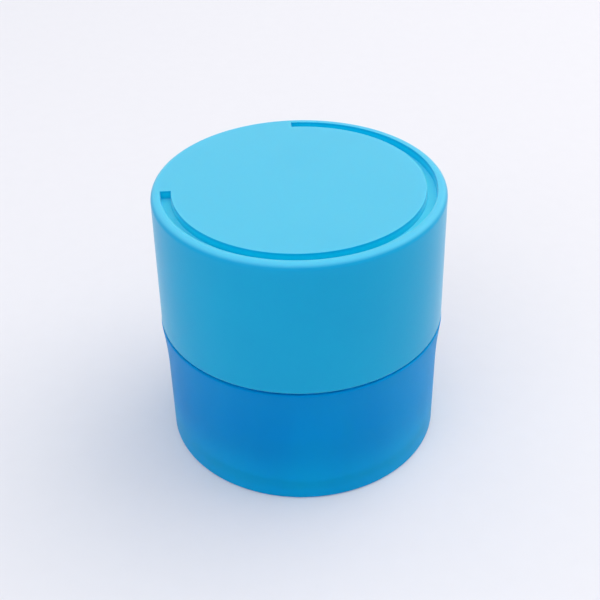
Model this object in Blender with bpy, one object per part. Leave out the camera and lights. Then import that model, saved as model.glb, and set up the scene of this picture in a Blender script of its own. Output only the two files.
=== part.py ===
"""Screw-down pill crusher.

A turning cap drives a press head straight down into a crushing bowl, whose skirt plugs into a
clear storage cup. Metres, +Z up. The origin is the centre of the ring that it stands on.
"""
import math

import bmesh
import bpy
from mathutils import Matrix

MM = 0.001

# ---------------------------------------------------------------- driving sizes
GAP = 0.3 * MM                 # left between two pieces that touch
HEIGHT = 59.3 * MM             # table to the top of the cap
CAP_RADIUS = 30.0 * MM         # cap, at its top edge
CAP_LIP_RADIUS = 30.4 * MM     # cap, at its open edge
CAP_EDGE_Z = 29.4 * MM         # height of the cap's open edge
CAP_TOP_THICK = 3.6 * MM
CAP_EDGE_ROUND = 1.3 * MM      # round-over of the top edge
CAP_BORE = 28.1 * MM

BASE_RADIUS = 29.8 * MM
BASE_LIP_RADIUS = 30.5 * MM    # the flare brings the base flush with the cap
BASE_RIM_Z = 0.3 * MM          # rim, just off the table
BASE_TOP_Z = 29.0 * MM
BASE_BORE = 27.5 * MM
BASE_FLOOR_Z = 2.7 * MM        # floor of the storage cup
FLARE_START_Z = 17.0 * MM

BOWL_BORE = 20.4 * MM          # the press head slides in this bore
BOWL_FLOOR_Z = 15.9 * MM
BOWL_UNDERSIDE_Z = 14.0 * MM
BOWL_TOP_Z = 47.0 * MM
FLANGE_THICK = 1.8 * MM

THREAD_ROOT = 23.4 * MM        # radius of the bowl's neck, between its threads
THREAD_DEPTH = 1.5 * MM
THREAD_PLAY = 0.5 * MM         # from a crest to the root that it runs in
THREAD_PITCH = 4.0 * MM
THREAD_STARTS = 2
THREAD_LEAD = THREAD_PITCH * THREAD_STARTS

GROOVE_INNER = 25.7 * MM
GROOVE_OUTER = 28.1 * MM
GROOVE_DEPTH = 1.8 * MM
GROOVE_START = math.radians(184)
GROOVE_SWEEP = math.radians(269)

KEY_COUNT = 3                  # ribs of the base that stop the bowl from turning
KEY_START = math.radians(288.5)
DRIVE_KEYS = 6                 # ribs of the cap shell that turn the cap core

SHELL_SIDES = 64               # facets round the two outer shells
INNER_SIDES = 48               # facets round the pieces inside
SMALL_SIDES = 32               # facets round the screw and its washer

# ---------------------------------------------------------------- sizes that follow from them
SKIRT_RADIUS = BASE_BORE - GAP
FLANGE_RADIUS = BASE_BORE + 1.1 * MM
REBATE_RADIUS = FLANGE_RADIUS + GAP
FLANGE_Z = BASE_TOP_Z - FLANGE_THICK
CORE_BORE = THREAD_ROOT + THREAD_DEPTH + THREAD_PLAY
CORE_RADIUS = CAP_BORE - 0.4 * MM
CAP_CEILING_Z = HEIGHT - CAP_TOP_THICK
CORE_TOP_Z = CAP_CEILING_Z - 2.4 * MM
WEB_THICK = 2.4 * MM
HUB_FLOOR_Z = 46.9 * MM        # underside of the core's hub, over the press head's stem
HUB_FLOOR_THICK = 2.0 * MM
PLATE_Z = BOWL_FLOOR_Z + GAP
PLATE_THICK = 1.0 * MM
RIDGE_HEIGHT = 0.8 * MM
HEAD_Z = PLATE_Z + PLATE_THICK + RIDGE_HEIGHT + 1.4 * MM
HEAD_RADIUS = BOWL_BORE - 0.5 * MM
HEAD_THICK = 6.0 * MM
STEM_RADIUS = 8.0 * MM
SCREW_RADIUS = 2.5 * MM
WASHER_THICK = 0.8 * MM


# ---------------------------------------------------------------- tools
def clear_scene():
    for thing in list(bpy.data.objects):
        bpy.data.objects.remove(thing, do_unlink=True)


def make_material(name, colour, roughness, metallic=0.0, alpha=1.0):
    """A Principled finish with one colour."""
    finish = bpy.data.materials.new(name)
    finish.use_nodes = True
    shader = finish.node_tree.nodes["Principled BSDF"]
    shader.inputs["Base Color"].default_value = (*colour, 1.0)
    shader.inputs["Roughness"].default_value = roughness
    shader.inputs["Metallic"].default_value = metallic
    shader.inputs["Alpha"].default_value = alpha
    finish.diffuse_color = (*colour, alpha)
    return finish


def make_object(name, bm, finish=None):
    """Turn a bmesh into a named object with outward faces and smooth round sides."""
    bmesh.ops.recalc_face_normals(bm, faces=bm.faces)
    mesh = bpy.data.meshes.new(name)
    bm.to_mesh(mesh)
    bm.free()
    mesh.shade_smooth()
    mesh.set_sharp_from_angle(angle=math.radians(30))
    thing = bpy.data.objects.new(name, mesh)
    bpy.context.collection.objects.link(thing)
    if finish:
        mesh.materials.append(finish)
    return thing


def turn(name, outline, sides, finish=None):
    """Spin an outline of (radius, height) points round Z.

    An outline that starts and ends on the axis makes a solid body; any other is closed into a ring.
    """
    bm = bmesh.new()
    points = [bm.verts.new((radius, 0, height)) for radius, height in outline]
    edges = [bm.edges.new(pair) for pair in zip(points, points[1:])]
    if outline[0][0] > 0:
        edges.append(bm.edges.new((points[-1], points[0])))
    bmesh.ops.spin(bm, geom=points + edges, axis=(0, 0, 1), cent=(0, 0, 0),
                   angle=math.tau, steps=sides, use_merge=True)
    bmesh.ops.remove_doubles(bm, verts=bm.verts, dist=0.01 * MM)
    return make_object(name, bm, finish)


def ring_outline(inner, outer, bottom, top, corner=0.0):
    """A rectangle, with its two outer corners cut off if a corner is given."""
    if not corner:
        return [(inner, bottom), (outer, bottom), (outer, top), (inner, top)]
    return [(inner, bottom), (outer - corner, bottom), (outer, bottom + corner),
            (outer, top - corner), (outer - corner, top), (inner, top)]


def arc(centre_r, centre_z, radius, start, end, steps):
    """Points of an arc in the outline's plane, angles in degrees from the outward direction."""
    angles = [math.radians(start + (end - start) * i / steps) for i in range(steps + 1)]
    return [(centre_r + radius * math.cos(a), centre_z + radius * math.sin(a)) for a in angles]


def radial_bars(name, count, inner, outer, width, bottom, top, start=0.0, crest=None):
    """Bars that point away from the axis, in one object. crest narrows their upper or lower edge.

    crest is (width at the bottom, width at the top).
    """
    low_width, top_width = crest or (width, width)
    bm = bmesh.new()
    for i in range(count):
        corners = [
            bm.verts.new((radius, side * half, height))
            for height, half in ((bottom, low_width / 2), (top, top_width / 2))
            for radius, side in ((inner, -1), (outer, -1), (outer, 1), (inner, 1))
        ]
        low, high = corners[:4], corners[4:]
        bm.faces.new(low[::-1])
        bm.faces.new(high)
        for j in range(4):
            k = (j + 1) % 4
            bm.faces.new((low[j], low[k], high[k], high[j]))
        spin = Matrix.Rotation(start + math.tau * i / count, 4, "Z")
        bmesh.ops.transform(bm, matrix=spin, verts=corners)
    return make_object(name, bm)


def sector(name, inner, outer, bottom, top, start, sweep, steps):
    """A curved bar with square ends, between two radii."""
    bm = bmesh.new()
    rows = []
    for i in range(steps + 1):
        angle = start + sweep * i / steps
        rows.append([
            bm.verts.new((radius * math.cos(angle), radius * math.sin(angle), height))
            for radius, height in ((inner, bottom), (outer, bottom), (outer, top), (inner, top))
        ])
    bridge_rows(bm, rows)
    return make_object(name, bm)


def bridge_rows(bm, rows):
    """Join equal rows of vertices into a closed bar with flat ends."""
    for row, following in zip(rows, rows[1:]):
        for j in range(len(row)):
            k = (j + 1) % len(row)
            bm.faces.new((row[j], row[k], following[k], following[j]))
    bm.faces.new(rows[0][::-1])
    bm.faces.new(rows[-1])


def thread_ridges(name, root, crest, start_z, turns, sides):
    """Right-hand thread ridges, one for each start, sunk a little into the wall at root.

    Each ridge grows out of the wall over its first sixth of a turn and fades over its last.
    """
    sink = math.copysign(0.3 * MM, root - crest)
    foot_half, crest_half = 1.2 * MM, 0.5 * MM
    lead_in = 1 / 6
    bm = bmesh.new()
    for start in range(THREAD_STARTS):
        steps = round(turns * sides)
        rows = []
        for i in range(steps + 1):
            turned = turns * i / steps
            grown = min(1.0, turned / lead_in, (turns - turned) / lead_in)
            tip = root + (crest - root) * (0.06 + 0.94 * grown)
            angle = math.tau * (turned + start / THREAD_STARTS)
            height = start_z + THREAD_LEAD * turned
            rows.append([
                bm.verts.new((radius * math.cos(angle), radius * math.sin(angle), height + rise))
                for radius, rise in ((root + sink, -foot_half), (tip, -crest_half),
                                     (tip, crest_half), (root + sink, foot_half))
            ])
        bridge_rows(bm, rows)
    return make_object(name, bm)


def combine(body, tool, operation):
    """Add a tool to a body, or cut it away. The tool stays in the file as a hidden guide."""
    boolean = body.modifiers.new(tool.name, "BOOLEAN")
    boolean.operation = operation
    boolean.solver = "EXACT"
    boolean.object = tool
    tool.hide_render = True
    tool.display_type = "WIRE"


# ---------------------------------------------------------------- base: the storage cup
def base_shell(finish):
    """Clear cup. Its side is straight, then flares out to meet the cap's edge."""
    flare_steps = 6
    flare = []
    for i in range(flare_steps + 1):
        rise = i / flare_steps
        radius = BASE_RADIUS + (BASE_LIP_RADIUS - BASE_RADIUS) * rise ** 2
        flare.append((radius, FLARE_START_Z + (BASE_TOP_Z - 0.3 * MM - FLARE_START_Z) * rise))
    outline = [
        (0, 0.8 * MM),
        (24.2 * MM, 0.8 * MM),
        (24.4 * MM, BASE_RIM_Z),
        (25.1 * MM, BASE_RIM_Z),
        (25.1 * MM, 1.5 * MM),
        (28.5 * MM, 1.5 * MM),
        (28.5 * MM, BASE_RIM_Z),
        (BASE_RADIUS - 0.4 * MM, BASE_RIM_Z),
        (BASE_RADIUS, BASE_RIM_Z + 0.4 * MM),
        *flare,
        (BASE_LIP_RADIUS - 0.3 * MM, BASE_TOP_Z),
        (REBATE_RADIUS, BASE_TOP_Z),
        (REBATE_RADIUS, FLANGE_Z - GAP),
        (BASE_BORE, FLANGE_Z - GAP),
        *arc(BASE_BORE - 1.2 * MM, BASE_FLOOR_Z + 1.2 * MM, 1.2 * MM, 0, -90, 2),
        (0, BASE_FLOOR_Z),
    ]
    shell = turn("base_shell", outline, SHELL_SIDES, finish)
    keys = radial_bars("base_keys", KEY_COUNT, BASE_BORE - 1.3 * MM, BASE_BORE + 0.5 * MM,
                       2.0 * MM, BASE_FLOOR_Z - 0.5 * MM, 19.9 * MM, KEY_START)
    combine(shell, keys, "UNION")
    return shell


def foot_ring(finish):
    """Non-slip ring in a groove under the base. The crusher stands on it."""
    outline = ring_outline(25.4 * MM, 28.2 * MM, 0, 1.2 * MM)
    return turn("foot_ring", outline, INNER_SIDES, finish)


# ---------------------------------------------------------------- bowl
def crush_bowl(finish):
    """Cup with a threaded neck, a flange that sits in the base, and a skirt that plugs into it."""
    cup_radius = BOWL_BORE + 2.2 * MM
    skirt_bore = SKIRT_RADIUS - 1.8 * MM
    outline = [
        (0, BOWL_UNDERSIDE_Z),
        (cup_radius, BOWL_UNDERSIDE_Z),
        (cup_radius, FLANGE_Z),
        (skirt_bore, FLANGE_Z),
        (skirt_bore, BOWL_UNDERSIDE_Z),
        (SKIRT_RADIUS, BOWL_UNDERSIDE_Z),
        (SKIRT_RADIUS, 22.0 * MM),
        (SKIRT_RADIUS - 0.9 * MM, 22.0 * MM),
        (SKIRT_RADIUS - 0.9 * MM, 24.2 * MM),
        (SKIRT_RADIUS, 24.2 * MM),
        (SKIRT_RADIUS, FLANGE_Z),
        (FLANGE_RADIUS, FLANGE_Z),
        (FLANGE_RADIUS, BASE_TOP_Z),
        (THREAD_ROOT, BASE_TOP_Z),
        (THREAD_ROOT, BOWL_TOP_Z - 0.5 * MM),
        (THREAD_ROOT - 0.5 * MM, BOWL_TOP_Z),
        (BOWL_BORE + 0.5 * MM, BOWL_TOP_Z),
        (BOWL_BORE, BOWL_TOP_Z - 0.5 * MM),
        (BOWL_BORE, BOWL_FLOOR_Z),
        (0, BOWL_FLOOR_Z),
    ]
    bowl = turn("crush_bowl", outline, INNER_SIDES, finish)
    slots = radial_bars("bowl_slots", KEY_COUNT, skirt_bore - 0.4 * MM, SKIRT_RADIUS + 0.4 * MM,
                        2.8 * MM, BOWL_UNDERSIDE_Z - 1 * MM, 20.3 * MM, KEY_START)
    combine(bowl, slots, "DIFFERENCE")
    thread = thread_ridges("bowl_thread", THREAD_ROOT, THREAD_ROOT + THREAD_DEPTH, 34.3 * MM,
                           1.25, INNER_SIDES // 2)
    combine(bowl, thread, "UNION")
    return bowl


def crush_plate(finish):
    """Hard plate on the bowl's floor, with radial ridges for the tablets to break over."""
    radius = BOWL_BORE - GAP
    top = PLATE_Z + PLATE_THICK
    outline = [
        (0, PLATE_Z),
        (radius - 0.2 * MM, PLATE_Z),
        (radius, PLATE_Z + 0.2 * MM),
        (radius, top - 0.2 * MM),
        (radius - 0.2 * MM, top),
        (0, top),
    ]
    plate = turn("crush_plate", outline, INNER_SIDES, finish)
    ridges = radial_bars("plate_ridges", 12, 5.0 * MM, radius - 1.2 * MM, 0, top - 0.3 * MM,
                         top + RIDGE_HEIGHT, crest=(2.2 * MM, 0.6 * MM))
    combine(plate, ridges, "UNION")
    return plate


def bowl_seal(finish):
    """Soft ring in the skirt's groove. Its grip holds the bowl in the base."""
    outline = ring_outline(SKIRT_RADIUS - 0.65 * MM, SKIRT_RADIUS + 0.05 * MM, 22.3 * MM,
                           23.9 * MM)
    return turn("bowl_seal", outline, INNER_SIDES, finish)


def neck_seal(finish):
    """Flat soft ring on the flange, under the cap's edge."""
    outline = ring_outline(THREAD_ROOT + 0.4 * MM, CAP_BORE - GAP, BASE_TOP_Z + GAP,
                           BASE_TOP_Z + 1.2 * MM)
    return turn("neck_seal", outline, INNER_SIDES, finish)


# ---------------------------------------------------------------- press: moves straight up and down
def press_head(finish):
    """Piston with crushing teeth under it and a stem that hangs from the cap core."""
    top = HEAD_Z + HEAD_THICK
    groove = 1.5 * MM
    stem_top = HUB_FLOOR_Z - GAP
    outline = [
        (0, HEAD_Z),
        (HEAD_RADIUS - 0.3 * MM, HEAD_Z),
        (HEAD_RADIUS, HEAD_Z + 0.3 * MM),
        (HEAD_RADIUS, HEAD_Z + 1.8 * MM),
        (HEAD_RADIUS - groove, HEAD_Z + 1.8 * MM),
        (HEAD_RADIUS - groove, HEAD_Z + 4.0 * MM),
        (HEAD_RADIUS, HEAD_Z + 4.0 * MM),
        (HEAD_RADIUS, top - 0.3 * MM),
        (HEAD_RADIUS - 0.3 * MM, top),
        *arc(STEM_RADIUS + 2.0 * MM, top + 2.0 * MM, 2.0 * MM, 270, 180, 3),
        (STEM_RADIUS, stem_top - 0.4 * MM),
        (STEM_RADIUS - 0.4 * MM, stem_top),
        (SCREW_RADIUS + GAP, stem_top),
        (SCREW_RADIUS + GAP, 33.0 * MM),
        (0, 33.0 * MM),
    ]
    head = turn("press_head", outline, INNER_SIDES, finish)
    teeth = radial_bars("head_teeth", 12, 4.0 * MM, HEAD_RADIUS - 1.2 * MM, 0, HEAD_Z - 1.0 * MM,
                        HEAD_Z + 0.3 * MM, math.radians(15), crest=(0.6 * MM, 2.6 * MM))
    combine(head, teeth, "UNION")
    return head


def wiper_ring(finish):
    """Soft ring that keeps the powder under the head."""
    outline = ring_outline(HEAD_RADIUS - 1.2 * MM, BOWL_BORE - 0.2 * MM, HEAD_Z + 2.1 * MM,
                           HEAD_Z + 3.7 * MM, 0.35 * MM)
    return turn("wiper_ring", outline, INNER_SIDES, finish)


def press_washer(finish):
    """Slippery washer between the screw's head and the turning hub."""
    bottom = HUB_FLOOR_Z + HUB_FLOOR_THICK + GAP
    outline = ring_outline(3.1 * MM, 6.6 * MM, bottom, bottom + WASHER_THICK)
    return turn("press_washer", outline, SMALL_SIDES, finish)


def press_screw(finish):
    """Screw that holds the head's stem under the hub."""
    seat = HUB_FLOOR_Z + HUB_FLOOR_THICK + GAP + WASHER_THICK + GAP
    head_top = seat + 2.3 * MM
    outline = [
        (0, 34.0 * MM),
        (SCREW_RADIUS - 0.8 * MM, 34.0 * MM),
        (SCREW_RADIUS, 35.2 * MM),
        (SCREW_RADIUS, seat),
        (5.0 * MM, seat),
        (5.0 * MM, head_top - 0.9 * MM),
        *arc(4.0 * MM, head_top - 0.9 * MM, 0.9 * MM, 60, 90, 1),
        (0, head_top),
    ]
    screw = turn("press_screw", outline, SMALL_SIDES, finish)
    hexagon = [(0, head_top - 1.3 * MM), (1.9 * MM, head_top - 1.3 * MM),
               (1.9 * MM, head_top + 1 * MM), (0, head_top + 1 * MM)]
    combine(screw, turn("screw_socket", hexagon, 6), "DIFFERENCE")
    return screw


# ---------------------------------------------------------------- cap: turns and rises
def cap_core(finish):
    """Threaded sleeve inside the cap, with a web and a hub that carry the press head."""
    web_z = CORE_TOP_Z - WEB_THICK
    bottom = BASE_TOP_Z + 1.5 * MM
    outline = [
        (SCREW_RADIUS + 0.4 * MM, HUB_FLOOR_Z),
        (9.4 * MM, HUB_FLOOR_Z),
        (9.4 * MM, web_z),
        (CORE_BORE, web_z),
        (CORE_BORE, bottom),
        (CORE_RADIUS, bottom),
        (CORE_RADIUS, CORE_TOP_Z),
        (7.4 * MM, CORE_TOP_Z),
        (7.4 * MM, HUB_FLOOR_Z + HUB_FLOOR_THICK),
        (SCREW_RADIUS + 0.4 * MM, HUB_FLOOR_Z + HUB_FLOOR_THICK),
    ]
    core = turn("cap_core", outline, INNER_SIDES, finish)
    ribs = radial_bars("core_ribs", DRIVE_KEYS, 8.8 * MM, CORE_BORE + 0.6 * MM, 1.4 * MM,
                       48.3 * MM, web_z + 0.5 * MM, math.radians(30))
    combine(core, ribs, "UNION")
    notches = radial_bars("core_notches", DRIVE_KEYS, CAP_BORE - 1.8 * MM, CAP_BORE + 1 * MM,
                          3.0 * MM, 49.8 * MM, CORE_TOP_Z + 1 * MM)
    combine(core, notches, "DIFFERENCE")
    thread = thread_ridges("core_thread", CORE_BORE, CORE_BORE - THREAD_DEPTH, 32.3 * MM, 1.5,
                           INNER_SIDES // 2)
    combine(core, thread, "UNION")
    return core


def cap_shell(finish):
    """Outer cap: flat top with the turn groove, drive ribs inside."""
    edge = CAP_EDGE_ROUND
    bearing = CORE_TOP_Z + GAP
    outline = [
        (0, HEIGHT),
        *arc(CAP_RADIUS - edge, HEIGHT - edge, edge, 90, 0, 4),
        (CAP_LIP_RADIUS, CAP_EDGE_Z + 0.25 * MM),
        (CAP_LIP_RADIUS - 0.25 * MM, CAP_EDGE_Z),
        (CAP_BORE, CAP_EDGE_Z),
        (CAP_BORE, CAP_CEILING_Z),
        (20.6 * MM, CAP_CEILING_Z),
        (20.6 * MM, bearing),
        (19.4 * MM, bearing),
        (19.4 * MM, CAP_CEILING_Z),
        (12.6 * MM, CAP_CEILING_Z),
        (12.6 * MM, bearing),
        (11.4 * MM, bearing),
        (11.4 * MM, CAP_CEILING_Z),
        (0, CAP_CEILING_Z),
    ]
    shell = turn("cap_shell", outline, SHELL_SIDES, finish)
    groove = sector("turn_groove", GROOVE_INNER, GROOVE_OUTER, HEIGHT - GROOVE_DEPTH,
                    HEIGHT + 1 * MM, GROOVE_START, GROOVE_SWEEP, 48)
    combine(shell, groove, "DIFFERENCE")
    keys = radial_bars("drive_keys", DRIVE_KEYS, CAP_BORE - 1.5 * MM, CAP_BORE + 0.6 * MM,
                       2.4 * MM, 50.2 * MM, CAP_CEILING_Z + 0.4 * MM)
    combine(shell, keys, "UNION")
    return shell


# ---------------------------------------------------------------- assembly
def axis_empty(name, height, parent=None):
    """A guide on the common axis that the moving pieces hang from."""
    empty = bpy.data.objects.new(name, None)
    empty.empty_display_size = 10 * MM
    empty.location = (0, 0, height - (parent.location.z if parent else 0))
    empty.parent = parent
    bpy.context.collection.objects.link(empty)
    return empty


def hang(pieces, empty):
    """Parent pieces to an empty and leave them where they are."""
    bpy.context.view_layer.update()
    for piece in pieces:
        piece.parent = empty
        piece.matrix_parent_inverse = empty.matrix_world.inverted()


def main():
    clear_scene()
    sky_blue = make_material("cap_blue", (0.02, 0.45, 0.78), 0.45)
    clear_blue = make_material("clear_blue", (0.0, 0.22, 0.62), 0.25, alpha=0.55)
    bowl_blue = make_material("bowl_blue", (0.0, 0.17, 0.5), 0.3, alpha=0.8)
    white = make_material("press_white", (0.82, 0.84, 0.86), 0.4)
    steel = make_material("steel", (0.62, 0.63, 0.65), 0.25, metallic=1.0)
    silicone = make_material("silicone", (0.75, 0.8, 0.84), 0.6)

    base_shell(clear_blue)
    foot_ring(silicone)

    bowl = [crush_bowl(bowl_blue), crush_plate(steel), bowl_seal(silicone), neck_seal(silicone)]
    press = [press_head(white), wiper_ring(silicone), press_screw(steel), press_washer(white)]
    cap = [cap_core(white), cap_shell(sky_blue)]

    bowl_axis = axis_empty("bowl_lift_axis", FLANGE_Z)
    press_axis = axis_empty("press_travel_axis", HUB_FLOOR_Z, bowl_axis)
    cap_axis = axis_empty("cap_turn_axis", HUB_FLOOR_Z, press_axis)
    hang(bowl, bowl_axis)
    hang(press, press_axis)
    hang(cap, cap_axis)


main()
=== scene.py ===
# %% [markdown]
# # A screw-down pill crusher
# A turning cap drives a press head straight down into a crushing bowl. The bowl plugs into a clear
# storage cup. The packed model gives every size and place. This lesson builds the fine surface of
# each piece round it: turned bodies with soft corners, threads and teeth, and moulded finishes.

# %% Load the frame
import math

import bmesh
import bpy
from mathutils import Matrix, Vector


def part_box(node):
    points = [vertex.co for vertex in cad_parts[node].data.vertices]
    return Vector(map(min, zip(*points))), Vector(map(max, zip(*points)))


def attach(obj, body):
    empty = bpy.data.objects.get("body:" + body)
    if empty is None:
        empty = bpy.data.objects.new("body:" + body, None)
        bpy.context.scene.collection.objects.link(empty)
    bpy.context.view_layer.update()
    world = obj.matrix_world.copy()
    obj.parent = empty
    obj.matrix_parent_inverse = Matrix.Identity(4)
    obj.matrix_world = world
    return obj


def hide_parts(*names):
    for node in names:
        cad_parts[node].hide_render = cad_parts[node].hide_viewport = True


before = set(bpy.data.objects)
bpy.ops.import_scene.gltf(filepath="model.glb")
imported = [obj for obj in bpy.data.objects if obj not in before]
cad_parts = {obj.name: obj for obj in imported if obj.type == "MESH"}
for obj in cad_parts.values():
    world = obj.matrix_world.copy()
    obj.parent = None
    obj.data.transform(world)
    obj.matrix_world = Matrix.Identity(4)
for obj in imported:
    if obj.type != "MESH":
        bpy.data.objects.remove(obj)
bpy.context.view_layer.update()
MM = 0.001

# %% [markdown]
# ## Where things are
# A box round a piece of the packed model is enough to place a turned piece: its outer radius is the
# box's half width, and its ends are the box's floor and ceiling. Everything is worked out in
# millimetres, because a moulded part is drawn that way, and turned into metres when it is made.


# %% Read the sizes that drive every outline
def reach(node):
    """Outer radius, lowest and highest point of a packed piece, in millimetres."""
    low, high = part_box(node)
    return high.x / MM, low.z / MM, high.z / MM


CAP_LIP, CAP_EDGE, TOP = reach("cap_shell")
CAP_RADIUS = CAP_LIP - 0.4
CAP_BORE = CAP_LIP - 2.3
CEILING = TOP - 3.6
BASE_LIP, RIM, BASE_TOP = reach("base_shell")
BASE_RADIUS = BASE_LIP - 0.7
BASE_BORE = BASE_LIP - 3.0
BASE_FLOOR = RIM + 2.4
FLARE_START = 17.0
FLANGE, BOWL_FOOT, BOWL_TOP = reach("crush_bowl")
FLANGE_FOOT = BASE_TOP - 1.8
SKIRT = BASE_BORE - 0.3
BOWL_FLOOR = BOWL_FOOT + 1.9
PLATE, PLATE_FOOT, PLATE_RIDGE = reach("crush_plate")
BOWL_BORE = PLATE + 0.3
HEAD, HEAD_TEETH, STEM_TOP = reach("press_head")
HEAD_FACE = HEAD_TEETH + 1.0
CORE, CORE_FOOT, CORE_TOP = reach("cap_core")
CORE_BORE = CORE - 2.3
NECK = CORE_BORE - 2.0
THREAD_DEPTH = 1.5
THREAD_LEAD = 8.0
HUB_FLOOR = STEM_TOP + 0.3
SCREW_HEAD, SCREW_TIP, SCREW_TOP = reach("press_screw")
SCREW_SHANK = 2.5
BASE_KEYS = 3
KEY_START = math.radians(288.5)
DRIVE_KEYS = 6
TEETH = 12
print(f"cap {2 * CAP_LIP:.1f} mm across, {TOP:.1f} mm high, joint at {CAP_EDGE:.1f} mm")

# %% [markdown]
# ## Camera
# The camera stands about 25 cm away and looks down at some 41 degrees, tilted up a little so that
# the crusher sits in the middle of the frame. It is made first, so that every later cell can be
# looked at through it. A long focal length keeps the round top close to a true ellipse.

# %% Place the camera
CAMERA_DISTANCE = 8.3 * CAP_RADIUS * MM
CAMERA_ELEVATION = 0.7200
CAMERA_TURN = 0.0011
CAMERA_TILT = 0.0983
CAMERA_ROLL = -0.0199
FOCAL_LENGTH = 63.29

back = Vector((0, -math.cos(CAMERA_ELEVATION), math.sin(CAMERA_ELEVATION)))
aim = back.to_track_quat("Z", "Y").to_matrix()
aim = aim @ Matrix.Rotation(CAMERA_TURN, 3, "Y") @ Matrix.Rotation(CAMERA_TILT, 3, "X")
aim = aim @ Matrix.Rotation(CAMERA_ROLL, 3, "Z")
lens = bpy.data.cameras.new("camera")
lens.lens = FOCAL_LENGTH
lens.clip_start = 0.01
camera = bpy.data.objects.new("camera", lens)
stand = Matrix.Translation(back * CAMERA_DISTANCE + Vector((0, 0, RIM * MM)))
camera.matrix_world = stand @ aim.to_4x4()
bpy.context.collection.objects.link(camera)
bpy.context.scene.camera = camera
print("camera at", [round(value, 3) for value in camera.location])

# %% [markdown]
# ## Shader maths
# A finish is mostly arithmetic on patterns, and Python can write it as arithmetic. Wire holds a
# socket and adds a Math node for each operator, in either order, so that 1 - mask works. Finish
# holds one material and its Principled shader, with methods for the patterns that finishes share.


# %% Wire: numbers in a shader
class Wire:
    """A socket that carries a number through a shader."""

    def __init__(self, tree, socket):
        self.tree = tree
        self.socket = socket

    def maths(self, operation, *values):
        node = self.tree.nodes.new("ShaderNodeMath")
        node.operation = operation
        for slot, value in zip(node.inputs, values):
            plug(self.tree, slot, value)
        return Wire(self.tree, node.outputs[0])

    def __add__(self, other):
        return self.maths("ADD", self, other)

    def __sub__(self, other):
        return self.maths("SUBTRACT", self, other)

    def __rsub__(self, other):
        return self.maths("SUBTRACT", other, self)

    def __mul__(self, other):
        return self.maths("MULTIPLY", self, other)

    __radd__ = __add__
    __rmul__ = __mul__

    def root(self):
        return self.maths("SQRT", self)

    def sine(self):
        return self.maths("SINE", self)

    def between(self, low, high):
        """0 below low, 1 above high, and a smooth step from one to the other."""
        made = add_node(self.tree, "ShaderNodeMapRange", {"interpolation_type": "SMOOTHSTEP"}, {
            "Value": self, "From Min": low, "From Max": high})
        return Wire(self.tree, made.outputs["Result"])


def plug(tree, slot, value):
    """Give a socket a link or a value."""
    if isinstance(value, Wire):
        tree.links.new(value.socket, slot)
    elif isinstance(value, bpy.types.NodeSocket):
        tree.links.new(value, slot)
    else:
        slot.default_value = value


def add_node(tree, kind, settings=None, sockets=None):
    """Any node: its type, its settings, then its sockets' values or links."""
    made = tree.nodes.new(kind)
    for label, value in (settings or {}).items():
        setattr(made, label, value)
    for label, value in (sockets or {}).items():
        plug(tree, made.inputs[label], value)
    return made


print("Wire makes", ", ".join(name for name in vars(Wire) if not name.startswith("_")), "and + - *")


# %% Finish: one material
class Finish:
    """A material built round one Principled shader."""

    def __init__(self, name, **constants):
        self.material = bpy.data.materials.new(name)
        self.material.use_nodes = True
        self.tree = self.material.node_tree
        self.shader = self.tree.nodes["Principled BSDF"]
        for label, value in constants.items():
            socket = label.replace("_", " ").title().replace("Ior", "IOR")
            self.shader.inputs[socket].default_value = value

    def node(self, kind, settings=None, sockets=None):
        return add_node(self.tree, kind, settings, sockets)

    def place(self):
        """Distance from the axis, height, and the raw place, in metres on the piece itself."""
        here = self.node("ShaderNodeTexCoord").outputs["Object"]
        parts = self.node("ShaderNodeSeparateXYZ", sockets={"Vector": here}).outputs
        x, y, z = (Wire(self.tree, part) for part in parts)
        return (x * x + y * y).root(), z, here

    def facing_up(self):
        """1 where the surface faces up, 0 on a wall, in the piece's own frame."""
        normal = self.node("ShaderNodeTexCoord").outputs["Normal"]
        parts = self.node("ShaderNodeSeparateXYZ", sockets={"Vector": normal}).outputs
        return Wire(self.tree, parts["Z"]).between(0.45, 0.95)

    def noise(self, where, scale, detail=2.0, roughness=0.5, stretch=None):
        """Fractal noise between 0 and 1. Stretch multiplies the place first."""
        if stretch:
            where = self.node("ShaderNodeVectorMath", {"operation": "MULTIPLY"},
                              {0: where, 1: stretch}).outputs[0]
        made = self.node("ShaderNodeTexNoise", sockets={
            "Vector": where, "Scale": scale, "Detail": detail, "Roughness": roughness})
        return Wire(self.tree, made.outputs["Fac"])

    def blend(self, amount, one, other):
        """Colour that goes from one to the other."""
        made = self.node("ShaderNodeMix", {"data_type": "RGBA"}, {0: amount, 6: one, 7: other})
        return made.outputs[2]

    def colour(self, socket):
        plug(self.tree, self.shader.inputs["Base Color"], socket)

    def roughness(self, wire):
        plug(self.tree, self.shader.inputs["Roughness"], wire)

    def bump(self, height, depth):
        """Small relief: depth is the height's full swing in metres."""
        made = self.node("ShaderNodeBump", sockets={"Height": height, "Distance": depth})
        plug(self.tree, self.shader.inputs["Normal"], made.outputs["Normal"])


def rgba(red, green, blue):
    """A linear colour with full alpha."""
    return (red, green, blue, 1.0)


print("Finish makes", ", ".join(name for name in vars(Finish) if not name.startswith("_")))
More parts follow.
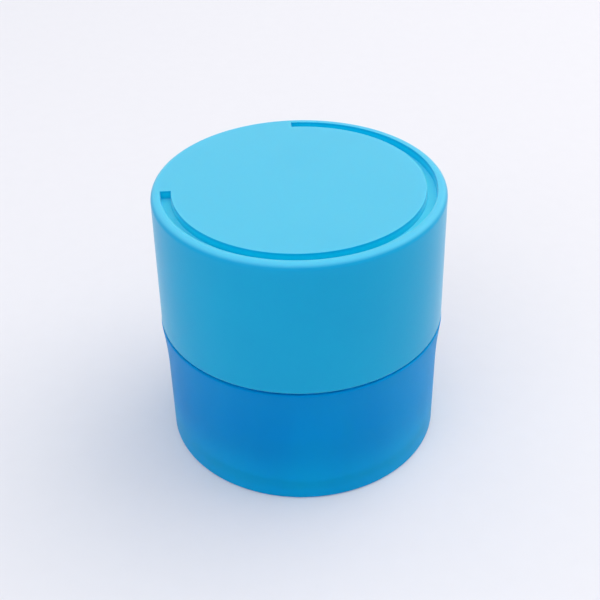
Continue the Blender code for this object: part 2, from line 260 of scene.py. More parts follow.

# %% [markdown]
# ## Moulded plastics
# The cap is an opaque sky-blue moulding from a spark-eroded tool, so its skin is a very fine,
# even grain with a satin sheen. Three things of its own vary over it: a faint cloud in the pigment,
# the grain, and the places that hands polish. The grain is far finer than the piece, so it goes into
# the bump, and the cloud is wide, so it goes into the colour. On top of that, the top face is painted
# paler, a painted highlight, and the groove in it is painted brighter, a painted glow.


# %% A satin moulding
def satin_plastic(name, deep, light, rough, grain=0.000012, top=None, **constants):
    """Opaque moulded plastic.

    top is (height, colour, wall, floor, rim) of a top face whose colour is painted paler: a painted
    highlight. What is sunk in it, inside radius rim, has the colours wall and floor, painted brighter
    than the plastic: a painted glow in the groove.
    """
    finish = Finish(name, **constants)
    radius, height, here = finish.place()
    cloud = finish.noise(here, 38.0, detail=3.0)
    speck = finish.noise(here, 900.0, detail=1.0)
    fine = finish.noise(here, 4200.0, detail=1.0, roughness=0.4)
    scuff = finish.noise(here, 260.0, detail=4.0, stretch=(1.0, 1.0, 0.12)).between(0.62, 0.78)
    tone = (cloud - 0.5) * 1.6 + (speck - 0.5) * 0.25 + 0.5
    shine = rough + (fine - 0.5) * 0.10 + scuff * 0.06
    colour = finish.blend(tone, deep, light)
    if top:
        level, painted_top_light, wall, floor, rim = top
        skin = height.between((level - 3.2) * MM, (level - 2.2) * MM)
        flat = finish.facing_up()
        painted_top_mask = skin * flat
        # Painted highlight: the top face is painted paler.
        colour = finish.blend(painted_top_mask * (cloud * 0.3 + 0.85), colour, painted_top_light)
        sunk = 1.0 - height.between((level - 0.9) * MM, (level - 0.05) * MM)
        inside = 1.0 - radius.between((rim - 0.1) * MM, rim * MM)
        # Painted glow: the groove's walls and floor are painted brighter.
        colour = finish.blend(skin * sunk * inside, colour, finish.blend(flat, wall, floor))
        shine = shine + painted_top_mask * 0.06
    finish.colour(colour)
    finish.roughness(shine)
    finish.bump(fine * 0.7 + cloud * 0.3, grain)
    return finish.material


# The cap's last three colours are painted light: a paler top face, a painted highlight, and brighter
# groove walls and floor, a painted glow.
CAP_BLUE = satin_plastic("cap_blue", rgba(0.0, 0.32, 0.56), rgba(0.0, 0.35, 0.59), 0.42,
                         top=(TOP, rgba(0.09, 0.52, 0.72), rgba(0.0, 0.57, 0.77),
                              rgba(0.09, 0.72, 0.92), 28.4),
                         specular_ior_level=0.16, sheen_weight=0.35, sheen_roughness=0.3,
                         subsurface_weight=0.6,
                         subsurface_scale=0.003, subsurface_radius=(0.3, 0.8, 1.0))
PRESS_WHITE = satin_plastic("press_white", rgba(0.74, 0.77, 0.79), rgba(0.80, 0.82, 0.83), 0.36,
                            subsurface_weight=0.15, subsurface_scale=0.002)
print("finishes:", CAP_BLUE.name, PRESS_WHITE.name)

# %% [markdown]
# ## Clear plastics
# The base is tinted polypropylene: light gets through it, but a view through it is blurred. That
# is a Principled shader with part of its weight in transmission and a rough surface. The weight and
# the index are the same all over, so they are plain numbers on the shader. Faint flow lines in the
# tint and the mist of the surface vary, and the tint is painted lighter low down: painted light.


# %% A translucent moulding
def clear_plastic(name, deep, light, rough, painted_light_below, **constants):
    """Tinted translucent plastic with faint flow lines that run up from the gate.

    Below a given height the colour is painted lighter towards the bottom: painted light.
    """
    finish = Finish(name, **constants)
    _, height, here = finish.place()
    flow = finish.noise(here, 55.0, detail=3.0, stretch=(1.0, 1.0, 0.35))
    mist = finish.noise(here, 1400.0, detail=2.0)
    # Painted light: the colour is painted lighter towards the bottom.
    painted_light_mask = 1.0 - height.between(painted_light_below * 0.2 * MM, painted_light_below * MM)
    tone = (flow - 0.5) * 0.9 + 0.25 + painted_light_mask * 0.6
    finish.colour(finish.blend(tone, deep, light))
    finish.roughness(rough + (mist - 0.5) * 0.08 + (flow - 0.5) * 0.06)
    finish.bump(flow * 0.6 + mist * 0.4, 0.000015)
    return finish.material


# Painted light: each clear finish below is painted lighter below a given height.
CLEAR_BLUE = clear_plastic("clear_blue", rgba(0.0, 0.37, 0.84), rgba(0.0, 0.57, 0.98), rough=0.42,
                           painted_light_below=14.0, transmission_weight=0.56, ior=1.3,
                           specular_ior_level=0.04, specular_tint=rgba(0.0, 0.85, 1.0),
                           sheen_weight=0.03, sheen_roughness=0.3)
BOWL_BLUE = clear_plastic("bowl_blue", rgba(0.0, 0.08, 0.56), rgba(0.0, 0.10, 0.60), rough=0.30,
                          painted_light_below=17.0, transmission_weight=0.05, ior=1.49,
                          specular_ior_level=0.3)
print("clear finishes:", CLEAR_BLUE.name, BOWL_BLUE.name)

# %% [markdown]
# ## Steel and silicone
# The crush plate and the screw are turned steel: the tool leaves rings round the axis, which is a
# sine of the distance from the axis. The seals and the foot are soft silicone: milky, matt, and a
# little dusty.


# %% Turned steel
def turned_steel():
    finish = Finish("steel", metallic=1.0)
    radius, height, here = finish.place()
    wobble = finish.noise(here, 300.0)
    rings = (radius * 21000.0 + height * 17000.0 + wobble * 2.0).sine() * 0.5 + 0.5
    grime = finish.noise(here, 120.0, detail=4.0).between(0.45, 0.75)
    finish.colour(finish.blend(grime, rgba(0.66, 0.67, 0.69), rgba(0.52, 0.53, 0.55)))
    finish.roughness(rings * 0.08 + grime * 0.12 + 0.22)
    finish.bump(rings, 0.000006)
    return finish.material


def silicone_rubber():
    finish = Finish("silicone", subsurface_weight=0.4, subsurface_scale=0.0015, ior=1.41)
    _, _, here = finish.place()
    dust = finish.noise(here, 700.0, detail=3.0).between(0.55, 0.8)
    cloud = finish.noise(here, 90.0)
    tone = cloud * 0.6 + dust * 0.4
    finish.colour(finish.blend(tone, rgba(0.60, 0.66, 0.70), rgba(0.72, 0.76, 0.79)))
    finish.roughness(dust * 0.2 + 0.52)
    finish.bump(dust + cloud, 0.00001)
    return finish.material


STEEL = turned_steel()
SILICONE = silicone_rubber()
print("finishes:", STEEL.name, SILICONE.name)

# %% [markdown]
# ## Turned bodies with soft corners
# Nearly every piece is round, so it is an outline spun about the axis. A moulding has no knife
# edges: each corner of the outline is given a radius, and a short arc takes its place. A pair of
# extra points holds the flat faces flat, so that smooth shading bends only over the arc.


# %% Soften an outline
def soften(corners, fold=14.0):
    """Points of an outline whose corners are (radius, height, rounding), in millimetres.

    An arc has a step for each fold degrees that it turns.
    """
    smooth = []
    for i, corner in enumerate(corners):
        here = Vector(corner[:2])
        rounding = corner[2] if len(corner) > 2 else 0.0
        if not rounding or i in (0, len(corners) - 1):
            smooth.append(here)
            continue
        before = (Vector(corners[i - 1][:2]) - here).normalized()
        after = (Vector(corners[i + 1][:2]) - here).normalized()
        half = before.angle(after) / 2
        bisector = (before + after).normalized()
        centre = here + bisector * (rounding / math.sin(half))
        run = rounding / math.tan(half)
        hold = min(0.6 * rounding, 0.25)
        first, last = here + before * run, here + after * run
        steps = max(2, round(math.degrees(math.pi - 2 * half) / fold))
        smooth.append(first + before * hold)
        for step in range(steps + 1):
            share = step / steps
            spoke = ((first - centre) * (1 - share) + (last - centre) * share).normalized()
            smooth.append(centre + spoke * rounding)
        smooth.append(last + after * hold)
    return [(point.x, point.y) for point in smooth]


print("a corner of radius 1 becomes", len(soften([(0, 0), (5, 0, 1.0), (5, 5)])) - 2, "points")


# %% Spin an outline
SIDES = 192
CREASE = math.radians(35)


def finished(name, bm, finish):
    """A named piece from a bmesh: doubles merged, faces outward, smooth where it is round."""
    bmesh.ops.remove_doubles(bm, verts=bm.verts, dist=0.002 * MM)
    bmesh.ops.recalc_face_normals(bm, faces=bm.faces)
    mesh = bpy.data.meshes.new(name)
    bm.to_mesh(mesh)
    bm.free()
    mesh.shade_smooth()
    mesh.set_sharp_from_angle(angle=CREASE)
    mesh.materials.append(finish)
    piece = bpy.data.objects.new(name, mesh)
    bpy.context.collection.objects.link(piece)
    return piece


def turned(name, outline_at, finish, angles=SIDES, closed=False):
    """Sweep an outline round the axis. outline_at gives its points, in millimetres, at an angle."""
    if isinstance(angles, int):
        angles = [math.tau * i / angles for i in range(angles)]
    bm = bmesh.new()
    spokes = [
        [bm.verts.new((r * math.cos(a) * MM, r * math.sin(a) * MM, z * MM)) for r, z in outline_at(a)]
        for a in angles
    ]
    count = len(spokes[0])
    pairs = count if closed else count - 1
    for i, spoke in enumerate(spokes):
        following = spokes[(i + 1) % len(spokes)]
        for j in range(pairs):
            k = (j + 1) % count
            bm.faces.new((spoke[j], following[j], following[k], spoke[k]))
    return finished(name, bm, finish)


def turned_plain(name, corners, finish, angles=SIDES, closed=False):
    """Sweep one outline of softened corners. A closed outline is a ring and touches no axis."""
    if closed:
        corners = [*corners[-1:], *corners, *corners[:1]]
        outline = soften(corners)[1:-1]
    else:
        outline = soften(corners)
    piece = turned(name, lambda angle: outline, finish, angles, closed)
    print(f"{name}: {len(piece.data.polygons)} faces")
    return piece


print("a turned piece has", SIDES, "sides unless it says otherwise")

# %% [markdown]
# ## Repeats round the axis
# Teeth, ridges, ribs and slots are one bar repeated round the axis at an even step. A Geometry
# Nodes tree does that: points on a circle, a bar on each, turned to face outwards. The tree has
# inputs for the count, the circle and the first angle, and ends in plain geometry with a material.


# %% A small builder for node trees
class Tree:
    """A Geometry Nodes tree with named inputs."""

    def __init__(self, name, **inputs):
        self.tree = bpy.data.node_groups.new(name, "GeometryNodeTree")
        self.sockets = {}
        panel = self.tree.interface
        for label, kind in inputs.items():
            socket = panel.new_socket(label, in_out="INPUT", socket_type="NodeSocket" + kind)
            self.sockets[label] = socket.identifier
        panel.new_socket("Geometry", in_out="OUTPUT", socket_type="NodeSocketGeometry")
        self.inputs = self.tree.nodes.new("NodeGroupInput").outputs
        self.out = self.tree.nodes.new("NodeGroupOutput").inputs

    def node(self, kind, settings=None, sockets=None):
        """The outputs of a new node."""
        return add_node(self.tree, kind, settings, sockets).outputs

    def facing(self, count):
        """The rotation of each of count points, an even step apart about the axis."""
        index = self.node("GeometryNodeInputIndex")["Index"]
        share = self.node("ShaderNodeMath", {"operation": "DIVIDE"}, {0: index, 1: count})[0]
        angle = self.node("ShaderNodeMath", {"operation": "MULTIPLY"}, {0: share, 1: math.tau})[0]
        return self.node("ShaderNodeCombineXYZ", sockets={"Z": angle})["Vector"]

    def end(self, geometry):
        """Realize the instances, set the material, and put the result out."""
        plain = self.node("GeometryNodeRealizeInstances", sockets={"Geometry": geometry})
        painted = self.node("GeometryNodeSetMaterial", sockets={
            "Geometry": plain["Geometry"], "Material": self.inputs["Material"]})
        plug(self.tree, self.out["Geometry"], painted["Geometry"])

    def grow(self, name, **values):
        """Run the tree with these values and return its result as a plain mesh piece."""
        host = bpy.data.objects.new(name + "_host", bpy.data.meshes.new(name + "_host"))
        bpy.context.collection.objects.link(host)
        modifier = host.modifiers.new("tree", "NODES")
        modifier.node_group = self.tree
        for label, value in values.items():
            modifier[self.sockets[label]] = value
        return plain_mesh(name, host)


def plain_mesh(name, source):
    """The evaluated object as a new plain mesh piece. The source goes away."""
    bpy.context.view_layer.update()
    evaluated = source.evaluated_get(bpy.context.evaluated_depsgraph_get())
    mesh = bpy.data.meshes.new_from_object(evaluated)
    mesh.name = name
    bpy.data.objects.remove(source, do_unlink=True)
    piece = bpy.data.objects.new(name, mesh)
    bpy.context.collection.objects.link(piece)
    return piece


# %% The tree that repeats a bar round the axis
def build_ring_of_bars():
    tree = Tree("ring_of_bars", Bar="Object", Count="Int", Radius="Float", Start="Float",
                Material="Material")
    given = tree.inputs
    circle = tree.node("GeometryNodeMeshCircle", sockets={"Vertices": given["Count"],
                                                          "Radius": given["Radius"]})
    facing = tree.facing(given["Count"])
    bar = tree.node("GeometryNodeObjectInfo", sockets={"Object": given["Bar"]})["Geometry"]
    bars = tree.node("GeometryNodeInstanceOnPoints", sockets={
        "Points": circle["Mesh"], "Instance": bar, "Rotation": facing})["Instances"]
    loose = tree.node("GeometryNodeRealizeInstances", sockets={"Geometry": bars})["Geometry"]
    start = tree.node("ShaderNodeCombineXYZ", sockets={"Z": given["Start"]})["Vector"]
    turned_bars = tree.node("GeometryNodeTransform", sockets={
        "Geometry": loose, "Rotation": start})["Geometry"]
    tree.end(turned_bars)
    return tree


RING_OF_BARS = build_ring_of_bars()
print("ring_of_bars inputs:", ", ".join(RING_OF_BARS.sockets))


# %% One bar, and a ring of them
BAR_SEGMENTS = 3


def bar_solid(name, length, foot, top, low_width, top_width, rounding):
    """A bar along +X from the origin, with soft edges. Sizes in millimetres."""
    bm = bmesh.new()
    corners = [
        bm.verts.new((x * MM, side * half * MM, z * MM))
        for z, half in ((foot, low_width / 2), (top, top_width / 2))
        for x, side in ((0, -1), (length, -1), (length, 1), (0, 1))
    ]
    low, high = corners[:4], corners[4:]
    bm.faces.new(low[::-1])
    bm.faces.new(high)
    for j in range(4):
        k = (j + 1) % 4
        bm.faces.new((low[j], low[k], high[k], high[j]))
    bmesh.ops.bevel(bm, geom=bm.edges[:], offset=rounding * MM, segments=BAR_SEGMENTS,
                    profile=0.5, affect="EDGES", clamp_overlap=True)
    return finished(name, bm, PRESS_WHITE)


def ring_of_bars(name, count, inner, outer, foot, top, widths, finish, start=0.0, rounding=0.2):
    """A ring of bars between two radii. widths are at the foot and at the top."""
    bar = bar_solid(name + "_bar", outer - inner, foot, top, *widths, rounding)
    ring = RING_OF_BARS.grow(name, Bar=bar, Count=count, Radius=inner * MM, Start=start,
                             Material=finish)
    bpy.data.objects.remove(bar, do_unlink=True)
    return ring


print("a bar has", BAR_SEGMENTS, "segments on each soft edge")

# %% [markdown]
# ## Threads
# A thread is a profile swept along a helix. The tree makes the helix from a spiral whose start and
# end radius are equal, shrinks the profile to nothing over the first and last stretch, as a cut
# thread runs out, and repeats the ridge once for each start.


# %% The tree that sweeps a thread
def build_thread():
    tree = Tree("thread", Turns="Float", Height="Float", Radius="Float", Starts="Int",
                Steps="Int", Fade="Float", Profile="Object", Foot="Float", Material="Material")
    given = tree.inputs
    spiral = tree.node("GeometryNodeCurveSpiral", sockets={
        "Resolution": given["Steps"], "Rotations": given["Turns"], "Height": given["Height"],
        "Start Radius": given["Radius"], "End Radius": given["Radius"], "Reverse": True})["Curve"]
    upright = tree.node("GeometryNodeSetCurveNormal", {"mode": "Z_UP"}, {"Curve": spiral})["Curve"]
    along = tree.node("GeometryNodeSplineParameter")["Factor"]
    back_along = tree.node("ShaderNodeMath", {"operation": "SUBTRACT"}, {0: 1.0, 1: along})[0]
    nearest_end = tree.node("ShaderNodeMath", {"operation": "MINIMUM"}, {0: along, 1: back_along})[0]
    grown = tree.node("ShaderNodeMapRange", {"interpolation_type": "SMOOTHSTEP"}, {
        "Value": nearest_end, "From Max": given["Fade"], "To Min": 0.05})["Result"]
    profile = tree.node("GeometryNodeObjectInfo", sockets={"Object": given["Profile"]})["Geometry"]
    outline = tree.node("GeometryNodeMeshToCurve", sockets={"Mesh": profile})["Curve"]
    ridge = tree.node("GeometryNodeCurveToMesh", sockets={
        "Curve": upright, "Profile Curve": outline, "Scale": grown, "Fill Caps": True})["Mesh"]
    starts = tree.node("GeometryNodePoints", sockets={"Count": given["Starts"]})["Points"]
    facing = tree.facing(given["Starts"])
    ridges = tree.node("GeometryNodeInstanceOnPoints", sockets={
        "Points": starts, "Instance": ridge, "Rotation": facing})["Instances"]
    lift = tree.node("ShaderNodeCombineXYZ", sockets={"Z": given["Foot"]})["Vector"]
    placed = tree.node("GeometryNodeTransform", sockets={"Geometry": ridges, "Translation": lift})
    tree.end(placed["Geometry"])
    return tree


THREAD = build_thread()
print("thread inputs:", ", ".join(THREAD.sockets))


# %% One thread
def thread(name, root, depth, foot, turns, finish, steps=96, starts=2, lead=THREAD_LEAD,
           half_foot=1.2, half_crest=0.5, fade=0.1, sink=0.3):
    """Right-hand ridges on a wall of radius root. A negative depth points them at the axis."""
    way = math.copysign(1.0, depth)
    rounding = half_crest * 0.6
    corners = [(-way * sink, -half_foot), (depth, -half_crest, rounding),
               (depth, half_crest, rounding), (-way * sink, half_foot)]
    bm = bmesh.new()
    points = [bm.verts.new((x * MM, y * MM, 0)) for x, y in soften(corners)[::int(way)]]
    for one, other in zip(points, [*points[1:], points[0]]):
        bm.edges.new((one, other))
    mesh = bpy.data.meshes.new(name + "_profile")
    bm.to_mesh(mesh)
    bm.free()
    profile = bpy.data.objects.new(name + "_profile", mesh)
    bpy.context.collection.objects.link(profile)
    ridges = THREAD.grow(name, Turns=turns, Height=lead * turns * MM, Radius=root * MM,
                         Starts=starts, Steps=steps, Fade=fade, Profile=profile,
                         Foot=foot * MM, Material=finish)
    bpy.data.objects.remove(profile, do_unlink=True)
    return ridges


print("each thread rises", THREAD_LEAD, "mm a turn, with two starts, unless it says otherwise")

# %% [markdown]
# ## Cutting and joining
# A rib is moulded in one with its wall, and a slot is missing from it. A Boolean does both, and
# leaves one closed surface. That matters most in the clear pieces, where a hidden inner face would
# show. The Boolean runs at once, and its result becomes the piece.


# %% Join or cut
def combined(piece, tools):
    """Apply tools to a piece. tools are (operation, object), and each tool is used up."""
    name = piece.name
    for operation, tool in tools:
        boolean = piece.modifiers.new(tool.name, "BOOLEAN")
        boolean.operation = operation
        boolean.solver = "EXACT"
        boolean.object = tool
    piece.name = name + "_blank"
    joined = plain_mesh(name, piece)
    for _, tool in tools:
        bpy.data.objects.remove(tool, do_unlink=True)
    joined.data.shade_smooth()
    joined.data.set_sharp_from_angle(angle=CREASE)
    print(f"{name}: {len(joined.data.polygons)} faces after {len(tools)} cuts and joins")
    return joined


def place(piece, body, node):
    """Put a finished piece on its body, in place of a packed node."""
    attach(piece, body)
    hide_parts(node)


print("every piece below ends with place()")

# %% [markdown]
# ## Cap shell
# The cap's top is flat, with one groove that runs three quarters of the way round near the rim and
# ends square. The groove could be cut with a Boolean, but its soft lips are what the light shows, so
# it is part of the sweep: the outline has the same points at every angle, and only their depth
# follows a mask that is 1 along the groove and 0 in the plain quarter.

# %% Groove profile
GROOVE_INNER = 25.85
GROOVE_OUTER = 28.0
GROOVE_DEPTH = 1.8
GROOVE_LIP = 0.16
GROOVE_FOOT = 0.25
GROOVE_START = math.radians(184)
GROOVE_SWEEP = math.radians(269)
GROOVE_SLOPE = 0.05
QUARTER_STEPS = 5


def groove_wall():
    """Steps over one wall of the groove: (distance into the groove, share of its depth)."""
    lip = [(-GROOVE_LIP * 2.0, 0.0)]
    for i in range(QUARTER_STEPS + 1):
        angle = math.pi / 2 * i / QUARTER_STEPS
        lip.append((GROOVE_LIP * (math.sin(angle) - 1), GROOVE_LIP * (1 - math.cos(angle))))
    foot = []
    for i in range(QUARTER_STEPS + 1):
        angle = math.pi / 2 * i / QUARTER_STEPS
        foot.append((GROOVE_SLOPE + GROOVE_FOOT * (1 - math.cos(angle)),
                     GROOVE_DEPTH - GROOVE_FOOT * (1 - math.sin(angle))))
    foot.append((GROOVE_SLOPE + GROOVE_FOOT * 1.8, GROOVE_DEPTH))
    return [(run, drop / GROOVE_DEPTH) for run, drop in lip + foot]


WALL = groove_wall()
GROOVE_RADII = ([(GROOVE_INNER + run, share) for run, share in WALL]
                + [(GROOVE_OUTER - run, share) for run, share in reversed(WALL)])
print("the groove has", len(GROOVE_RADII), "points across it")


# %% Angles, with close steps at the groove's two ends
def groove_angles(sides=240):
    """(angle, share of depth) all the way round, from the groove's start."""
    middle = (GROOVE_INNER + GROOVE_OUTER) / 2
    steps = [(GROOVE_START + run / middle, share) for run, share in WALL]
    inside = round(sides * GROOVE_SWEEP / math.tau)
    outside = sides - inside
    first, last = WALL[-1][0] / middle, GROOVE_SWEEP - WALL[-1][0] / middle
    for i in range(1, inside):
        steps.append((GROOVE_START + first + (last - first) * i / inside, 1.0))
    for run, share in reversed(WALL):
        steps.append((GROOVE_START + GROOVE_SWEEP - run / middle, share))
    first, last = GROOVE_SWEEP - WALL[0][0] / middle, math.tau + WALL[0][0] / middle
    for i in range(1, outside):
        steps.append((GROOVE_START + first + (last - first) * i / outside, 0.0))
    return steps


MASK = dict(groove_angles())
print("the cap has", len(MASK), "spokes")


# %% The cap's outline and sweep
BEARING_RINGS = ((20.6, 19.4), (12.6, 11.4))
TOP_RADII = (0, 8.0, 16.0, 22.0)


def cap_outline(angle):
    """The whole section of the cap shell at one angle. Two rings under it bear on the core."""
    drop = GROOVE_DEPTH * MASK[angle]
    bearing = CORE_TOP + 0.3
    rings = []
    for outer, inner in BEARING_RINGS:
        rings += [(outer, CEILING, 0.2), (outer, bearing, 0.3)]
        rings += [(inner, bearing, 0.3), (inner, CEILING, 0.2)]
    rim = soften([
        (0, TOP), (CAP_RADIUS, TOP, 1.3), (CAP_LIP, CAP_EDGE, 0.35), (CAP_BORE, CAP_EDGE, 0.35),
        (CAP_BORE, CEILING, 0.8), *rings, (0, CEILING)], fold=11.0)
    top = [(radius, TOP) for radius in TOP_RADII]
    return top + [(radius, TOP - drop * share) for radius, share in GROOVE_RADII] + rim[1:]


cap_shell = turned("cap_shell_fine", cap_outline, CAP_BLUE, angles=list(MASK))
drive_keys = ring_of_bars("drive_keys", DRIVE_KEYS, CAP_BORE - 1.5, CAP_BORE + 0.6,
                          CORE_TOP - 3.1, CEILING + 0.4, (2.4, 2.4), CAP_BLUE)
cap_shell = combined(cap_shell, [("UNION", drive_keys)])
place(cap_shell, "cap", "cap_shell")

# %% [markdown]
# ## Cap core
# The white core hides inside the cap. Its sleeve carries the inner thread, six ribs stiffen the web,
# and six notches in the rim take the cap's drive ribs, so that the cap can turn it.

# %% Cap core
WEB_FOOT = CORE_TOP - 2.4
HUB_SEAT = HUB_FLOOR + 2.0
HUB_BORE = 2.9
HUB = 9.4
WELL = 7.4
core_blank = turned_plain("cap_core_fine", [
    (HUB_BORE, HUB_FLOOR, 0.2), (HUB, HUB_FLOOR, 0.4), (HUB, WEB_FOOT, 0.5),
    (CORE_BORE, WEB_FOOT, 0.6), (CORE_BORE, CORE_FOOT, 0.3), (CORE, CORE_FOOT, 0.4),
    (CORE, CORE_TOP, 0.4), (WELL, CORE_TOP, 0.3), (WELL, HUB_SEAT, 0.3),
    (HUB_BORE, HUB_SEAT, 0.2)], PRESS_WHITE, angles=160, closed=True)
core_ribs = ring_of_bars("core_ribs", 6, 8.8, CORE_BORE + 0.6, 48.3, WEB_FOOT + 0.5, (1.2, 1.5),
                         PRESS_WHITE, start=math.radians(30))
core_notches = ring_of_bars("core_notches", DRIVE_KEYS, CAP_BORE - 1.8, CAP_BORE + 1.0,
                            CORE_TOP - 3.5, CORE_TOP + 1.0, (3.0, 3.0), PRESS_WHITE)
core_thread = thread("core_thread", CORE_BORE, -THREAD_DEPTH, foot=32.3, turns=1.5,
                     finish=PRESS_WHITE)
cap_core = combined(core_blank, [("UNION", core_ribs), ("DIFFERENCE", core_notches),
                                 ("UNION", core_thread)])
place(cap_core, "cap", "cap_core")

# %% [markdown]
# ## Base shell
# The base is a clear cup. Its side is straight at the foot and then flares, so that its lip is flush
# with the cap. The flare is half a parabola, which has no kink where it starts. Inside, three
# thin upright ribs keep the bowl from turning: one of them shows faintly through the wall.

# %% Base shell
FOOT_INNER = 25.4
FOOT_OUTER = 28.2
FOOT_TOP = 1.2
CHANNEL_GAP = 0.3
FOOT_LEVEL = 0.1
HEEL = 24.2
HEEL_TOP = 0.8
FLARE_STEPS = 14
flare = [(BASE_RADIUS + (BASE_LIP - BASE_RADIUS) * (i / FLARE_STEPS) ** 2,
          FLARE_START + (BASE_TOP - 0.3 - FLARE_START) * i / FLARE_STEPS)
         for i in range(FLARE_STEPS + 1)]
REBATE = FLANGE + 0.3
CHANNEL_IN = FOOT_INNER - CHANNEL_GAP
CHANNEL_OUT = FOOT_OUTER + CHANNEL_GAP
CHANNEL_TOP = FOOT_TOP + CHANNEL_GAP
base_blank = turned_plain("base_shell_fine", [
    (0, HEEL_TOP), (HEEL, HEEL_TOP, 0.3), (HEEL + 0.2, RIM, 0.2), (CHANNEL_IN, RIM, 0.2),
    (CHANNEL_IN, CHANNEL_TOP, 0.2), (CHANNEL_OUT, CHANNEL_TOP, 0.2), (CHANNEL_OUT, RIM, 0.2),
    (CHANNEL_OUT + 0.4, FOOT_LEVEL, 0.2), (BASE_RADIUS, FOOT_LEVEL, 0.35), *flare[:-1],
    (BASE_LIP, BASE_TOP, 0.3), (REBATE, BASE_TOP, 0.2), (REBATE, FLANGE_FOOT - 0.3, 0.2),
    (BASE_BORE, FLANGE_FOOT - 0.3, 0.3), (BASE_BORE, BASE_FLOOR, 1.2), (0, BASE_FLOOR)], CLEAR_BLUE)
base_keys = ring_of_bars("base_keys", BASE_KEYS, BASE_BORE - 1.3, BASE_BORE + 0.5,
                         BASE_FLOOR - 0.5, 19.9, (2.0, 2.0), CLEAR_BLUE, start=KEY_START,
                         rounding=0.35)
base_shell = combined(base_blank, [("UNION", base_keys)])
place(base_shell, "base", "base_shell")

# %% [markdown]
# ## Foot ring
# The silicone ring under the base is what grips the table. Shallow grooves across it let air and
# water out: sixty short bars, repeated round the ring and cut away.

# %% Foot ring
foot_blank = turned_plain("foot_ring_fine", [
    (FOOT_INNER, 0, 0.25), (FOOT_OUTER, 0, 0.25), (FOOT_OUTER, FOOT_TOP, 0.2),
    (FOOT_INNER, FOOT_TOP, 0.2)], SILICONE, closed=True)
foot_grooves = ring_of_bars("foot_grooves", 60, FOOT_INNER - 0.4, FOOT_OUTER + 0.4, -0.5, 0.3,
                            (0.7, 0.7), SILICONE, rounding=0.12)
foot_ring = combined(foot_blank, [("DIFFERENCE", foot_grooves)])
place(foot_ring, "base", "foot_ring")

# %% [markdown]
# ## Crushing bowl
# The bowl has a cup that the press slides in, a neck with the outer thread, a flange that rests in
# the base, and a skirt that plugs into it. The skirt is the dark body that shows through the base,
# and it ends half way down. Slots in the skirt fit over the base's ribs.

# %% Crushing bowl
CUP = BOWL_BORE + 2.2
SKIRT_BORE = SKIRT - 1.8
SEAL_SEAT = SKIRT - 0.9
SEAL_FOOT = 22.0
SEAL_TOP = 24.2
bowl_blank = turned_plain("crush_bowl_fine", [
    (0, BOWL_FOOT), (CUP, BOWL_FOOT, 1.2), (CUP, FLANGE_FOOT, 0.4), (SKIRT_BORE, FLANGE_FOOT, 0.4),
    (SKIRT_BORE, BOWL_FOOT, 0.4), (SKIRT, BOWL_FOOT, 0.5), (SKIRT, SEAL_FOOT, 0.1),
    (SEAL_SEAT, SEAL_FOOT, 0.2), (SEAL_SEAT, SEAL_TOP, 0.2), (SKIRT, SEAL_TOP, 0.1),
    (SKIRT, FLANGE_FOOT, 0.1),
    (FLANGE, FLANGE_FOOT, 0.3), (FLANGE, BASE_TOP, 0.3), (NECK, BASE_TOP, 0.3),
    (NECK, BOWL_TOP, 0.7), (BOWL_BORE, BOWL_TOP, 0.7), (BOWL_BORE, BOWL_FLOOR, 0.2),
    (0, BOWL_FLOOR)], BOWL_BLUE, angles=180)
bowl_slots = ring_of_bars("bowl_slots", BASE_KEYS, SKIRT_BORE - 0.6, SKIRT + 0.6,
                          BOWL_FOOT - 1.0, 20.3, (2.8, 2.8), BOWL_BLUE, start=KEY_START,
                          rounding=0.3)
bowl_thread = thread("bowl_thread", NECK, THREAD_DEPTH, foot=34.3, turns=1.25, finish=BOWL_BLUE)
crush_bowl = combined(bowl_blank, [("DIFFERENCE", bowl_slots), ("UNION", bowl_thread)])
place(crush_bowl, "bowl", "crush_bowl")

# %% [markdown]
# ## Crush plate
# Tablets break over twelve low ridges. Each ridge is a bar that narrows to its crest.

# %% Crush plate
PLATE_TOP = PLATE_RIDGE - 0.8
plate_blank = turned_plain("crush_plate_fine", [
    (0, PLATE_FOOT), (PLATE, PLATE_FOOT, 0.25), (PLATE, PLATE_TOP, 0.25), (0, PLATE_TOP)],
    STEEL, angles=144)
plate_ridges = ring_of_bars("plate_ridges", TEETH, 5.0, PLATE - 1.2, PLATE_TOP - 0.3, PLATE_RIDGE,
                            (2.2, 0.8), STEEL, rounding=0.2)
crush_plate = combined(plate_blank, [("UNION", plate_ridges)])
place(crush_plate, "bowl", "crush_plate")

# %% [markdown]
# ## Press head
# The press head is a piston on a stout stem. Its teeth sit between the plate's ridges, and a groove
# round it carries the wiper ring.

# %% Press head
HEAD_TOP = HEAD_FACE + 6.0
WIPER_SEAT = HEAD - 1.5
WIPER_FOOT = HEAD_FACE + 1.8
WIPER_TOP = HEAD_FACE + 4.0
STEM = 8.0
SCREW_HOLE = 2.8
HOLE_FLOOR = 33.0
head_blank = turned_plain("press_head_fine", [
    (0, HEAD_FACE), (HEAD, HEAD_FACE, 0.4), (HEAD, WIPER_FOOT, 0.15), (WIPER_SEAT, WIPER_FOOT, 0.2),
    (WIPER_SEAT, WIPER_TOP, 0.2), (HEAD, WIPER_TOP, 0.15), (HEAD, HEAD_TOP, 0.4),
    (STEM, HEAD_TOP, 2.0), (STEM, STEM_TOP, 0.4), (SCREW_HOLE, STEM_TOP, 0.2),
    (SCREW_HOLE, HOLE_FLOOR, 0.3), (0, HOLE_FLOOR)], PRESS_WHITE, angles=160)
head_teeth = ring_of_bars("head_teeth", TEETH, 4.0, HEAD - 1.2, HEAD_TEETH, HEAD_FACE + 0.3,
                          (0.8, 2.6), PRESS_WHITE, start=math.radians(15), rounding=0.22)
press_head = combined(head_blank, [("UNION", head_teeth)])
place(press_head, "press", "press_head")

# %% [markdown]
# ## Screw and washer
# A hexagon-socket screw hangs the head under the cap's hub. Its thread is the same tree as the
# bowl's, with one start, a fine lead and a sharper ridge.

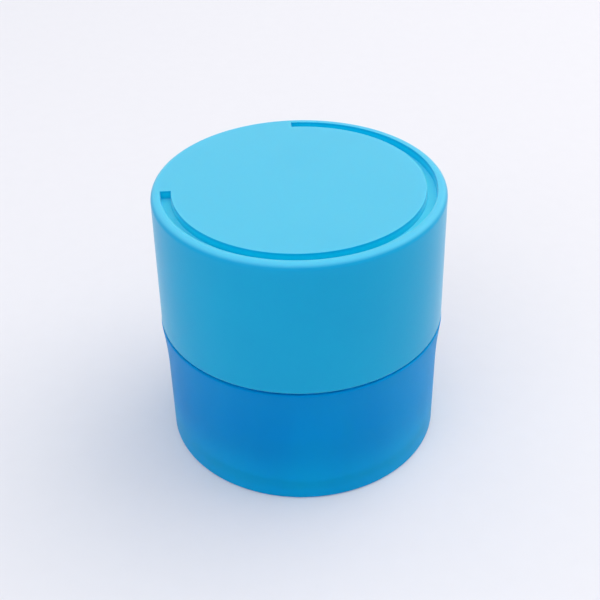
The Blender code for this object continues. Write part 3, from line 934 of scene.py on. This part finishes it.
# %% Screw and washer
SCREW_SEAT = SCREW_TOP - 2.3
SCREW_ROOT = 2.1
SHOULDER = 44.0
SOCKET = 1.9
SOCKET_FLOOR = SCREW_TOP - 1.3
ABOVE = SCREW_TOP + 1.0
screw_blank = turned_plain("press_screw_fine", [
    (0, SCREW_TIP), (1.7, SCREW_TIP, 0.2), (SCREW_ROOT, SCREW_TIP + 1.0, 0.3),
    (SCREW_ROOT, SHOULDER, 0.1), (SCREW_SHANK, SHOULDER + 0.4, 0.1), (SCREW_SHANK, SCREW_SEAT, 0.2),
    (SCREW_HEAD, SCREW_SEAT, 0.2), (SCREW_HEAD, SCREW_TOP, 0.9), (0, SCREW_TOP)], STEEL, angles=96)
socket_hole = turned("screw_socket", lambda angle: [
    (0, SOCKET_FLOOR), (SOCKET, SOCKET_FLOOR), (SOCKET, ABOVE), (0, ABOVE)], STEEL, angles=6)
screw_thread = thread("screw_thread", SCREW_ROOT, 0.4, foot=SCREW_TIP + 1.4, turns=8.0,
                      finish=STEEL, steps=32, starts=1, lead=1.0, half_foot=0.35,
                      half_crest=0.1, fade=0.06, sink=0.1)
press_screw = combined(screw_blank, [("UNION", screw_thread), ("DIFFERENCE", socket_hole)])
place(press_screw, "press", "press_screw")
WASHER_FOOT = HUB_SEAT + 0.3
WASHER_TOP = HUB_SEAT + 1.1
washer = turned_plain("press_washer_fine", [
    (3.1, WASHER_FOOT, 0.15), (6.6, WASHER_FOOT, 0.15), (6.6, WASHER_TOP, 0.15),
    (3.1, WASHER_TOP, 0.15)], PRESS_WHITE, angles=96, closed=True)
place(washer, "press", "press_washer")

# %% [markdown]
# ## Soft rings
# Three silicone rings keep the powder in and the bowl in place. Each is a small rounded section
# swept round the axis, sized from its packed piece.


# %% Soft rings
def soft_ring(node, body, inner, rounding):
    """A silicone ring that fills its packed piece. inner is the packed piece's bore."""
    outer, foot, top = reach(node)
    ring = turned_plain(node + "_fine", [
        (inner, foot, rounding), (outer, foot, rounding), (outer, top, rounding),
        (inner, top, rounding)], SILICONE, closed=True)
    place(ring, body, node)


soft_ring("neck_seal", "bowl", NECK + 0.4, 0.4)
soft_ring("bowl_seal", "bowl", SKIRT - 0.65, 0.3)
soft_ring("wiper_ring", "press", HEAD - 1.2, 0.6)

# %% [markdown]
# ## Studio
# A plain pale floor, and a wide soft light from the upper right behind the crusher. The world gives
# the rest, slightly cool, as daylight from a window does. The floor lies a hair below the foot ring.

# %% Floor and lights
floor_finish = Finish("floor", specular_ior_level=0.2)
paper = floor_finish.noise(floor_finish.place()[2], 220.0, detail=3.0)
floor_finish.colour(floor_finish.blend(paper, rgba(0.80, 0.79, 0.81), rgba(0.82, 0.81, 0.83)))
floor_finish.roughness(paper * 0.1 + 0.55)

FLOOR_HALF = 1.5
FLOOR_LEVEL = -0.02
bm = bmesh.new()
bmesh.ops.create_grid(bm, x_segments=1, y_segments=1, size=FLOOR_HALF)
bmesh.ops.translate(bm, vec=(0, 0, FLOOR_LEVEL * MM), verts=bm.verts)
floor = finished("floor", bm, floor_finish.material)


def soft_light(name, place_at, size, power, colour):
    """A square light that looks at the middle of the crusher."""
    light = bpy.data.lights.new(name, "AREA")
    light.shape = "SQUARE"
    light.size = size
    light.energy = power
    light.color = colour
    lamp = bpy.data.objects.new(name, light)
    lamp.location = place_at
    towards = Vector((0, 0, 0.03)) - lamp.location
    lamp.rotation_euler = towards.to_track_quat("-Z", "Y").to_euler()
    bpy.context.collection.objects.link(lamp)


soft_light("key_light", (0.68, 0.30, 0.82), size=1.2, power=5.6, colour=(1.0, 0.90, 0.80))
soft_light("fill_light", (-0.40, -0.70, 0.60), size=1.0, power=2.2, colour=(1.0, 0.98, 0.95))
world = bpy.data.worlds.new("studio")
world.use_nodes = True
daylight = world.node_tree.nodes["Background"].inputs
daylight["Color"].default_value = rgba(0.87, 0.91, 0.99)
daylight["Strength"].default_value = 0.92
bpy.context.scene.world = world
bpy.context.scene.view_settings.view_transform = "Standard"

# %% [markdown]
# ## Measure and finish
# The visual model has to stay inside the packed model's box.
